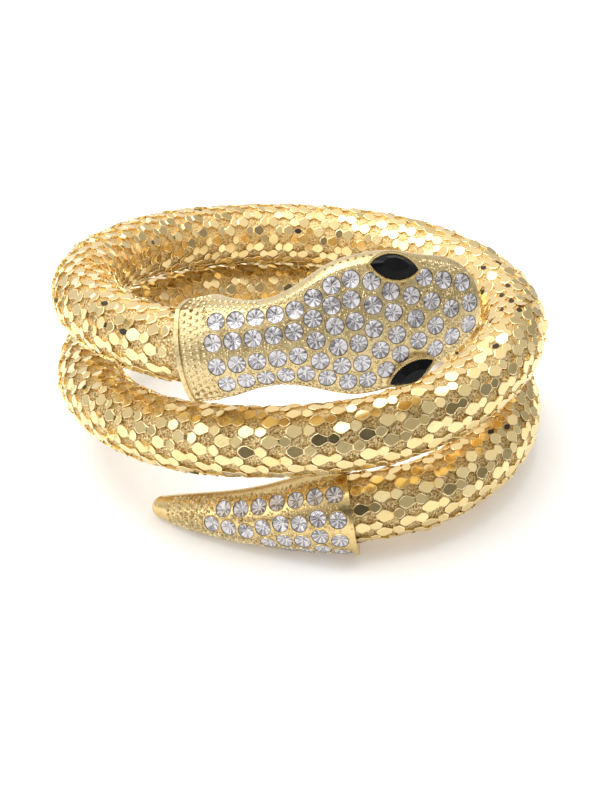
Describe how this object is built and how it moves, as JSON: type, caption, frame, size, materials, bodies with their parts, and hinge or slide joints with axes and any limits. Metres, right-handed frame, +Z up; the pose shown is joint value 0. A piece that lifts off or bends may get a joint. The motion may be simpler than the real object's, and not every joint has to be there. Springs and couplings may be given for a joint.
{
  "type": "snake bracelet",
  "caption": "Coiled snake bangle of flexible scale mesh tube, with a cast head and a cast tail set with round stones and two dark pointed eye stones.",
  "frame": {"origin": "on the coil's axis, in the plane of the surface that the bracelet lies on", "axes": "+Z up along the way the wrist goes through, -Y towards the head's face and the tail, +X to the viewer's right, where the head points"},
  "size_m": [0.0832, 0.084, 0.0513],
  "materials": {
    "scale_mesh": "polished scales over matte recesses, pale gold plate",
    "cast_metal": "satin casting with beaded ground, pale gold plate",
    "clear_stone": "faceted clear crystal with a foiled back",
    "dark_stone": "faceted black glass"
  },
  "bodies": {
    "root": {"scale_mesh_upper": "scale_mesh", "scale_mesh_lower": "scale_mesh", "head_shell": "cast_metal", "head_stones": "clear_stone", "upper_eye": "dark_stone", "lower_eye": "dark_stone", "tail_shell": "cast_metal", "tail_stones": "clear_stone"}
  },
  "joints": []
}
